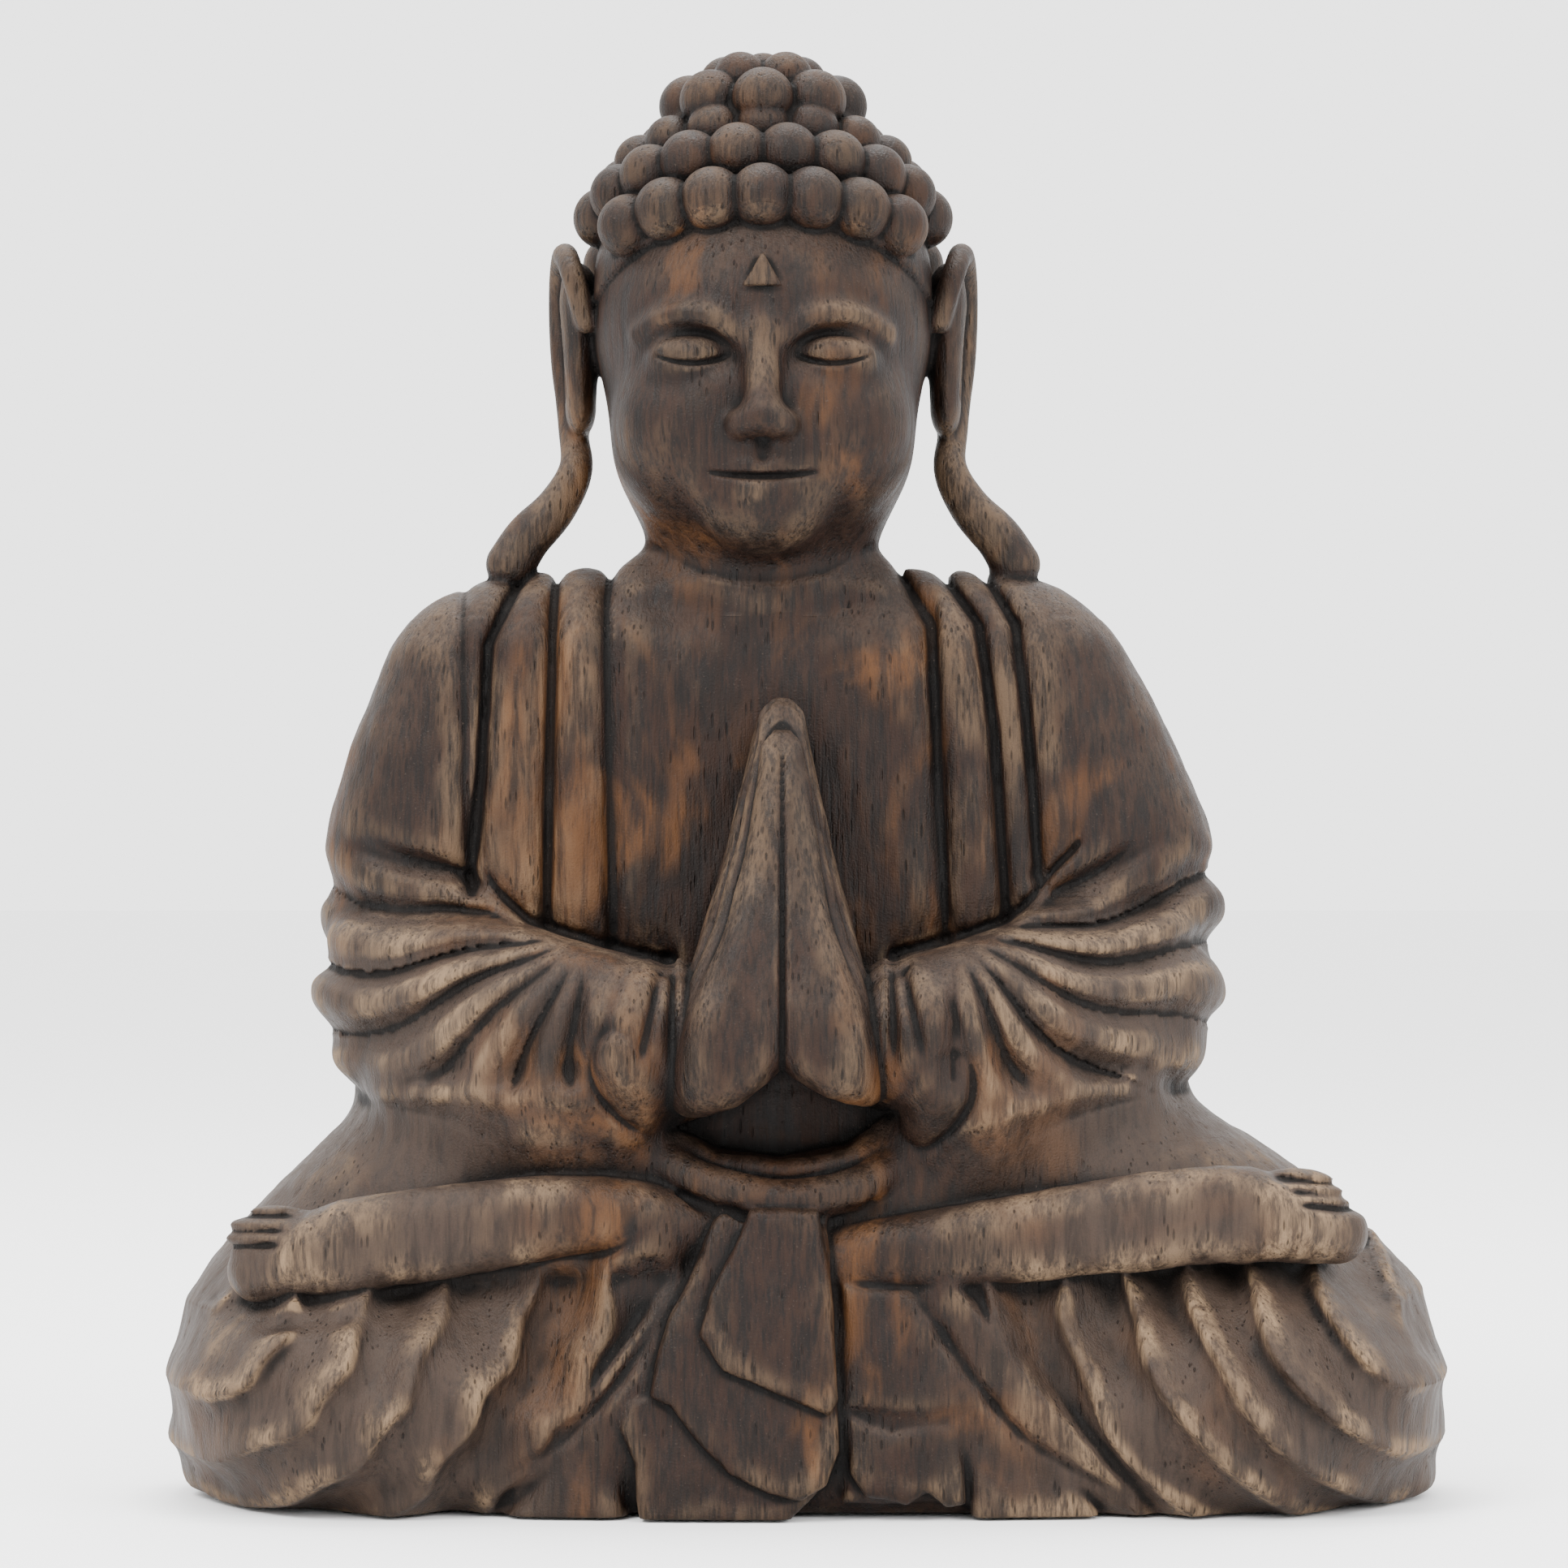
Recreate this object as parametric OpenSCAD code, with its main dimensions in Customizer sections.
// Seated Buddha with hands pressed together, carved in wood and built up from glued blocks.
// Frame: +X to the viewer's right, +Y to the back, +Z up, in millimetres. The origin is the middle of
// the base at floor level, and the figure looks along -Y. "Right" and "left" are the figure's own, so
// its right side lies at -X.

/* [Base] */
// Width across both knees
base_w = 268; // [250:1:290]
// Depth from the front drape to the back of the seat
base_d = 120; // [112:1:130]
// Height of the seat plane, where torso and sleeves stand on the lap
seat_h = 84; // [82:1:88]
// Distance of the glue plane between lap and leg blocks in front of the middle
leg_plane = 14; // [10:1:18]

/* [Torso] */
// Sideways offset of the upper body from the middle of the base
body_x = -8; // [-10:1:0]
// Half width of the torso block between the two arm planes
torso_hw = 58; // [54:1:60]
// Height of the shoulder tops
shoulder_h = 192; // [188:1:196]
// Distance of the chest's flat front behind the middle of the base, negative for in front
chest_y = -21; // [-24:1:-18]

/* [Arms and hands] */
// Height of the glue plane between upper arm and sleeve
elbow_h = 124; // [118:1:128]
// Half width over both sleeves at the elbow
elbow_hw = 96; // [92:1:98]
// Sideways offset of the palms' shared plane from the middle of the base
palm_x = -5; // [-8:1:-2]
// Height of the fingertips
fingertip_h = 165; // [160:1:168]
// Half width of both hands together at the wrists
wrist_hw = 21; // [20:1:23]

/* [Head] */
// Overall height of the statue, at the top of the topknot
total_h = 300; // [296:1:306]
// Half width of the face
face_hw = 35; // [33:1:36]
// Height of the underside of the chin
chin_h = 194; // [192:1:196]
// Height of the hairline at the middle of the forehead
hairline_h = 262; // [258:1:266]
// Height of the glue plane between hair cap and topknot
topknot_h = 284; // [281:1:286]

/* [Joinery] */
// Diameter of the neck and shoulder dowels
big_dowel_d = 12; // [10:1:14]
// Diameter of the elbow and knee dowels
mid_dowel_d = 8; // [6:1:9]
// Diameter of the wrist pegs
peg_d = 5; // [4:0.5:6]
// Radial glue clearance of every dowel in its bore
glue_gap = 0.1; // [0.05:0.05:0.2]

/* [Hidden] */

$fn = 24;           // facets of the rounded masses
BORE_FN = 48;       // facets of the true bores and dowels
FAR = 400;          // reach of a half space
half_w = base_w / 2;
half_d = base_d / 2;
leg_y = -leg_plane;
head_x = body_x - 1;
head_y = -2;
neck_r = 23;
neck_seat_h = 182;  // glue plane between torso and neck
neck_axis_y = 6;
sleeve_h = 74;      // lowest edge of the sleeves
wood_dark = "#4f3b2c";
wood_mid = "#6b4e36";
wood_light = "#8a6a4a";

// The inner edges of the leg blocks, seen from the front as [x, z].
knee_edge_right = [[-61, 0], [-21, 50]];
knee_edge_left = [[66, 0], [29, 45]];
// The underside of each foot, running outwards.
foot_line_right = [[-21, 50], [-150, 40]];
foot_line_left = [[6, 43], [150, 57]];
// The outline of the apron between the legs, and of the cloth on either side of it.
sash_h = 60;        // underside of the waistband
sash_hw = 30;
apron = [[6, 0], [-36, 0], [-38, 20], [-24, 36], [-15, sash_h], [6, sash_h]];
cloth_right = [[-61, 0], [-21, 50], [-15, sash_h], [-24, 36], [-38, 20], [-36, 0]];
cloth_left = [[6, 0], [6, 43], [29, 45], [66, 0]];

elbow_dowel_x = 76;
knee_dowel_x = 92;
knee_dowel_h = 26;
shoulder_dowel_h = 158;
shoulder_dowel_y = 12;
wrist_peg_y = -38;
wrist_peg_h = 96;
big_reach = 16;     // how far a big dowel enters each block
mid_reach = 12;
peg_reach = 8;

// An ellipsoid about c with the half sizes r.
module ball(c, r) {
    translate(c) scale(r) sphere(1);
}

// The box between two corners.
module block(lo, hi) {
    translate(lo) cube(hi - lo);
}

// A prism whose outline is drawn as seen from the front, [x, z], running from y0 back to y1.
module front_prism(outline, y0, y1) {
    translate([0, y1, 0]) rotate([90, 0, 0]) linear_extrude(y1 - y0) polygon(outline);
}

// A round bar along +Z from z0 to z1 at c = [x, y].
module bar_z(c, r, z0, z1) {
    translate([c[0], c[1], z0]) cylinder(r = r, h = z1 - z0, $fn = BORE_FN);
}

// A round bar along +X from x0 to x1 at c = [y, z].
module bar_x(c, r, x0, x1) {
    translate([x0, c[0], c[1]]) rotate([0, 90, 0]) cylinder(r = r, h = x1 - x0, $fn = BORE_FN);
}

// A round bar along +Y from y0 to y1 at c = [x, z].
module bar_y(c, r, y0, y1) {
    translate([c[0], y1, c[1]]) rotate([90, 0, 0]) cylinder(r = r, h = y1 - y0, $fn = BORE_FN);
}

// The dowels. gap is 0 for the dowel itself and the glue clearance for its bore.
module neck_bar(gap) {
    bar_z([head_x, neck_axis_y], big_dowel_d / 2 + gap, neck_seat_h - big_reach, neck_seat_h + big_reach);
}

module shoulder_bar(side, gap) {
    x = body_x + side * torso_hw;
    bar_x([shoulder_dowel_y, shoulder_dowel_h], big_dowel_d / 2 + gap, x - big_reach, x + big_reach);
}

module elbow_bar(side, gap) {
    bar_z([body_x + side * elbow_dowel_x, 6], mid_dowel_d / 2 + gap, elbow_h - mid_reach, elbow_h + mid_reach);
}

module wrist_bar(side, gap) {
    x = palm_x + side * wrist_hw;
    bar_x([wrist_peg_y, wrist_peg_h], peg_d / 2 + gap, x - peg_reach, x + peg_reach);
}

module knee_bar(side, gap) {
    bar_y([side * knee_dowel_x, knee_dowel_h], mid_dowel_d / 2 + gap, leg_y - mid_reach, leg_y + mid_reach);
}

// Seat, hips and backs of the thighs in one block, with the flat foot that the statue stands on.
module lap() {
    color(wood_dark) difference() {
        intersection() {
            hull() {
                ball([body_x, half_d - 46, 62], [98, 46, 40]);
                for (side = [-1, 1]) ball([side * (half_w - 44), 12, 24], [40, 42, 36]);
            }
            block([-FAR, leg_y, 0], [FAR, FAR, seat_h]);
        }
        for (side = [-1, 1]) knee_bar(side, glue_gap);
    }
}

// One bent knee under its robe. side is -1 for the figure's right knee; edge is its inner edge and
// foot_line the underside of the foot that lies on it.
module knee(side, edge, foot_line) {
    color(wood_dark) difference() {
        intersection() {
            hull() {
                ball([side * (half_w - 34), -18, 24], [34, 34, 38]);
                ball([side * 62, -20, 22], [48, 36, 38]);
                ball([side * 30, -24, 20], [28, 28, 38]);
            }
            front_prism([edge[0], [side * FAR, 0], foot_line[1],
                         [edge[1][0], height_at(foot_line, edge[1][0])]], -FAR, leg_y);
        }
        knee_bar(side, glue_gap);
    }
}

// Height of a line of two points at x.
function height_at(line, x) =
    line[0][1] + (x - line[0][0]) * (line[1][1] - line[0][1]) / (line[1][0] - line[0][0]);

// One bare shin and foot, lying across the opposite thigh with its toes outwards. corner is where it
// meets the apron and the waistband.
module foot(side, line, heel_x, corner) {
    toe_x = side * (half_w - 22);
    sash_x = palm_x + side * sash_hw;
    color(wood_mid) intersection() {
        hull() {
            ball([heel_x, -27, height_at(line, heel_x) + 6], [14, 19, 12]);
            ball([side * 60, -31, height_at(line, side * 60) + 9], [30, 20, 12]);
            ball([toe_x, -26, height_at(line, toe_x) + 6], [8, 16, 8]);
        }
        front_prism([line[0], line[1], [line[1][0], 90], [sash_x, 90], [sash_x, sash_h], corner],
                    -FAR, leg_y);
    }
}

// The apron of cloth that falls over the front of the base between the legs.
module front_drape() {
    color(wood_light) intersection() {
        hull() {
            for (x = [-26, -4]) ball([x, -half_d + 26, 6], [16, 26, 22]);
            ball([-5, -30, 52], [18, 22, 16]);
        }
        front_prism(apron, -FAR, leg_y);
    }
}

// The cloth between the apron and one knee. outline is what it fills, seen from the front, and at is
// its middle.
module side_drape(outline, at) {
    color(wood_mid) intersection() {
        hull() {
            ball([at, -20, 0], [34, 34, 30]);
            ball([at * 0.5, -20, 44], [24, 28, 18]);
        }
        front_prism(outline, -FAR, leg_y);
    }
}

// The roll of the waistband under the hands.
module waist_sash() {
    color(wood_mid) intersection() {
        hull() for (side = [-1, 1]) ball([palm_x + side * (sash_hw - 14), -16, 64], [14, 25, 14]);
        block([palm_x - sash_hw, -FAR, sash_h], [palm_x + sash_hw, leg_y, sleeve_h]);
    }
}

// Chest, back and shoulders between the two arm planes.
module torso() {
    color(wood_dark) difference() {
        intersection() {
            hull() {
                ball([body_x, 8, 100], [68, 40, 44]);
                ball([body_x, 8, 150], [70, 32, 34]);
                for (side = [-1, 1]) ball([body_x + side * 42, 10, shoulder_h - 22], [24, 26, 22]);
            }
            block([body_x - torso_hw, chest_y, seat_h], [body_x + torso_hw, FAR, shoulder_h]);
        }
        bar_z([head_x, neck_axis_y], neck_r, neck_seat_h, total_h);
        neck_bar(glue_gap);
        for (side = [-1, 1]) shoulder_bar(side, glue_gap);
    }
}

// One upper arm, outside the arm plane and above the elbow plane.
module upper_arm(side) {
    color(wood_light) difference() {
        intersection() {
            hull() {
                ball([body_x + side * 56, 10, shoulder_h - 26], [28, 28, 26]);
                ball([body_x + side * (elbow_hw - 25), 4, 112], [25, 30, 32]);
            }
            if (side < 0) block([-FAR, -FAR, elbow_h], [body_x - torso_hw, FAR, FAR]);
            else block([body_x + torso_hw, -FAR, elbow_h], [FAR, FAR, FAR]);
        }
        shoulder_bar(side, glue_gap);
        elbow_bar(side, glue_gap);
    }
}

// One sleeve, from the elbow round the front of the body to the wrist plane.
module sleeve(side) {
    inner = palm_x + side * wrist_hw;
    color(wood_mid) difference() {
        intersection() {
            hull() {
                ball([body_x + side * (elbow_hw - 28), 4, 104], [28, 30, 26]);
                ball([inner + side * 8, -36, 94], [14, 18, 20]);
            }
            if (side < 0) block([-FAR, -FAR, sleeve_h], [inner, FAR, elbow_h]);
            else block([inner, -FAR, sleeve_h], [FAR, FAR, elbow_h]);
        }
        block([body_x - torso_hw, chest_y, 0], [body_x + torso_hw, FAR, FAR]);
        block([-FAR, leg_y, 0], [FAR, FAR, seat_h]);
        elbow_bar(side, glue_gap);
        wrist_bar(side, glue_gap);
    }
}

// One hand, flat against the other in the palm plane.
module hand(side) {
    color(wood_light) difference() {
        intersection() {
            hull() {
                ball([palm_x + side * 6, -42, 92], [15, 18, 16]);
                ball([palm_x + side * 5, -38, 124], [9, 14, 16]);
                ball([palm_x + side * 3, -32, fingertip_h - 6], [4, 8, 6]);
            }
            if (side < 0) block([palm_x - wrist_hw, -FAR, 77], [palm_x, chest_y, FAR]);
            else block([palm_x, -FAR, 77], [palm_x + wrist_hw, chest_y, FAR]);
        }
        wrist_bar(side, glue_gap);
    }
}

// The half space under the hairline, which falls from the forehead to the nape.
module under_hairline() {
    drop = 0.5;
    outline = [[-FAR, hairline_h + drop * (FAR - 36)], [FAR, hairline_h - drop * (FAR + 36)], [-FAR, -FAR]];
    translate([-FAR, 0, 0]) rotate([90, 0, 90]) linear_extrude(2 * FAR) polygon(outline);
}

// The rounded mass of skull and jaw.
module skull() {
    hull() {
        ball([head_x, head_y, 242], [face_hw, 36, 36]);
        ball([head_x, head_y - 6, chin_h + 20], [27, 28, 20]);
    }
}

// Face, skull and neck.
module head() {
    color(wood_mid) difference() {
        union() {
            intersection() {
                skull();
                under_hairline();
            }
            bar_z([head_x, neck_axis_y], neck_r, neck_seat_h, 212);
        }
        neck_bar(glue_gap);
    }
}

// The close cap of curls over the skull, notched at both sides for the tops of the ears.
module hair_cap() {
    color(wood_dark) difference() {
        hull() {
            ball([head_x, head_y + 1, 250], [face_hw + 3, 38, 36]);
            ball([head_x, head_y + 2, 236], [face_hw + 1, 37, 34]);
        }
        under_hairline();
        block([-FAR, -FAR, topknot_h], [FAR, FAR, FAR]);
        for (side = [-1, 1]) translate([head_x + side * (face_hw + 10), 0, 0])
            block([-10, -7, 0], [10, 15, 260]);
    }
}

// The raised knot of curls on the crown.
module topknot() {
    color(wood_dark) intersection() {
        hull() ball([head_x, head_y + 2, topknot_h - 2], [22, 22, total_h - topknot_h + 2]);
        block([-FAR, -FAR, topknot_h], [FAR, FAR, FAR]);
    }
}

// One ear with its long lobe, which flares out and rests on the shoulder.
module ear(side) {
    x = head_x + side * face_hw;
    color(wood_mid) intersection() {
        union() {
            hull() {
                ball([x + side * 3, 4, 247], [6, 10, 12]);
                ball([x + side * 3, 3, 218], [4, 7, 7]);
            }
            hull() {
                ball([x + side * 2, 3, 218], [5, 7, 7]);
                ball([x + side * 11, 4, 199], [6, 7, 6]);
            }
        }
        if (side < 0) block([-FAR, -FAR, shoulder_h], [x, FAR, FAR]);
        else block([x, -FAR, shoulder_h], [FAR, FAR, FAR]);
    }
}

// The small raised mark between the brows, seated on the curve of the forehead.
module forehead_mark() {
    color(wood_dark) difference() {
        front_prism([[head_x - 4, 248], [head_x + 4, 248], [head_x, 255]], head_y - 38, head_y - 30);
        skull();
    }
}

lap();
knee(-1, knee_edge_right, foot_line_right);  // right_knee
knee(1, knee_edge_left, foot_line_left);  // left_knee
foot(1, foot_line_left, 18, apron[5]);  // right_foot
foot(-1, foot_line_right, -32, apron[4]);  // left_foot
front_drape();
side_drape(cloth_right, -40);  // right_side_drape
side_drape(cloth_left, 32);  // left_side_drape
waist_sash();
torso();
upper_arm(-1);  // right_upper_arm
upper_arm(1);  // left_upper_arm
sleeve(-1);  // right_sleeve
sleeve(1);  // left_sleeve
hand(-1);  // right_hand
hand(1);  // left_hand
head();
hair_cap();
topknot();
ear(-1);  // right_ear
ear(1);  // left_ear
forehead_mark();
color(wood_light) neck_bar(0);  // neck_dowel
color(wood_light) for (side = [-1, 1]) shoulder_bar(side, 0);  // shoulder_dowels
color(wood_light) for (side = [-1, 1]) elbow_bar(side, 0);  // elbow_dowels
color(wood_light) for (side = [-1, 1]) wrist_bar(side, 0);  // wrist_pegs
color(wood_light) for (side = [-1, 1]) knee_bar(side, 0);  // knee_dowels
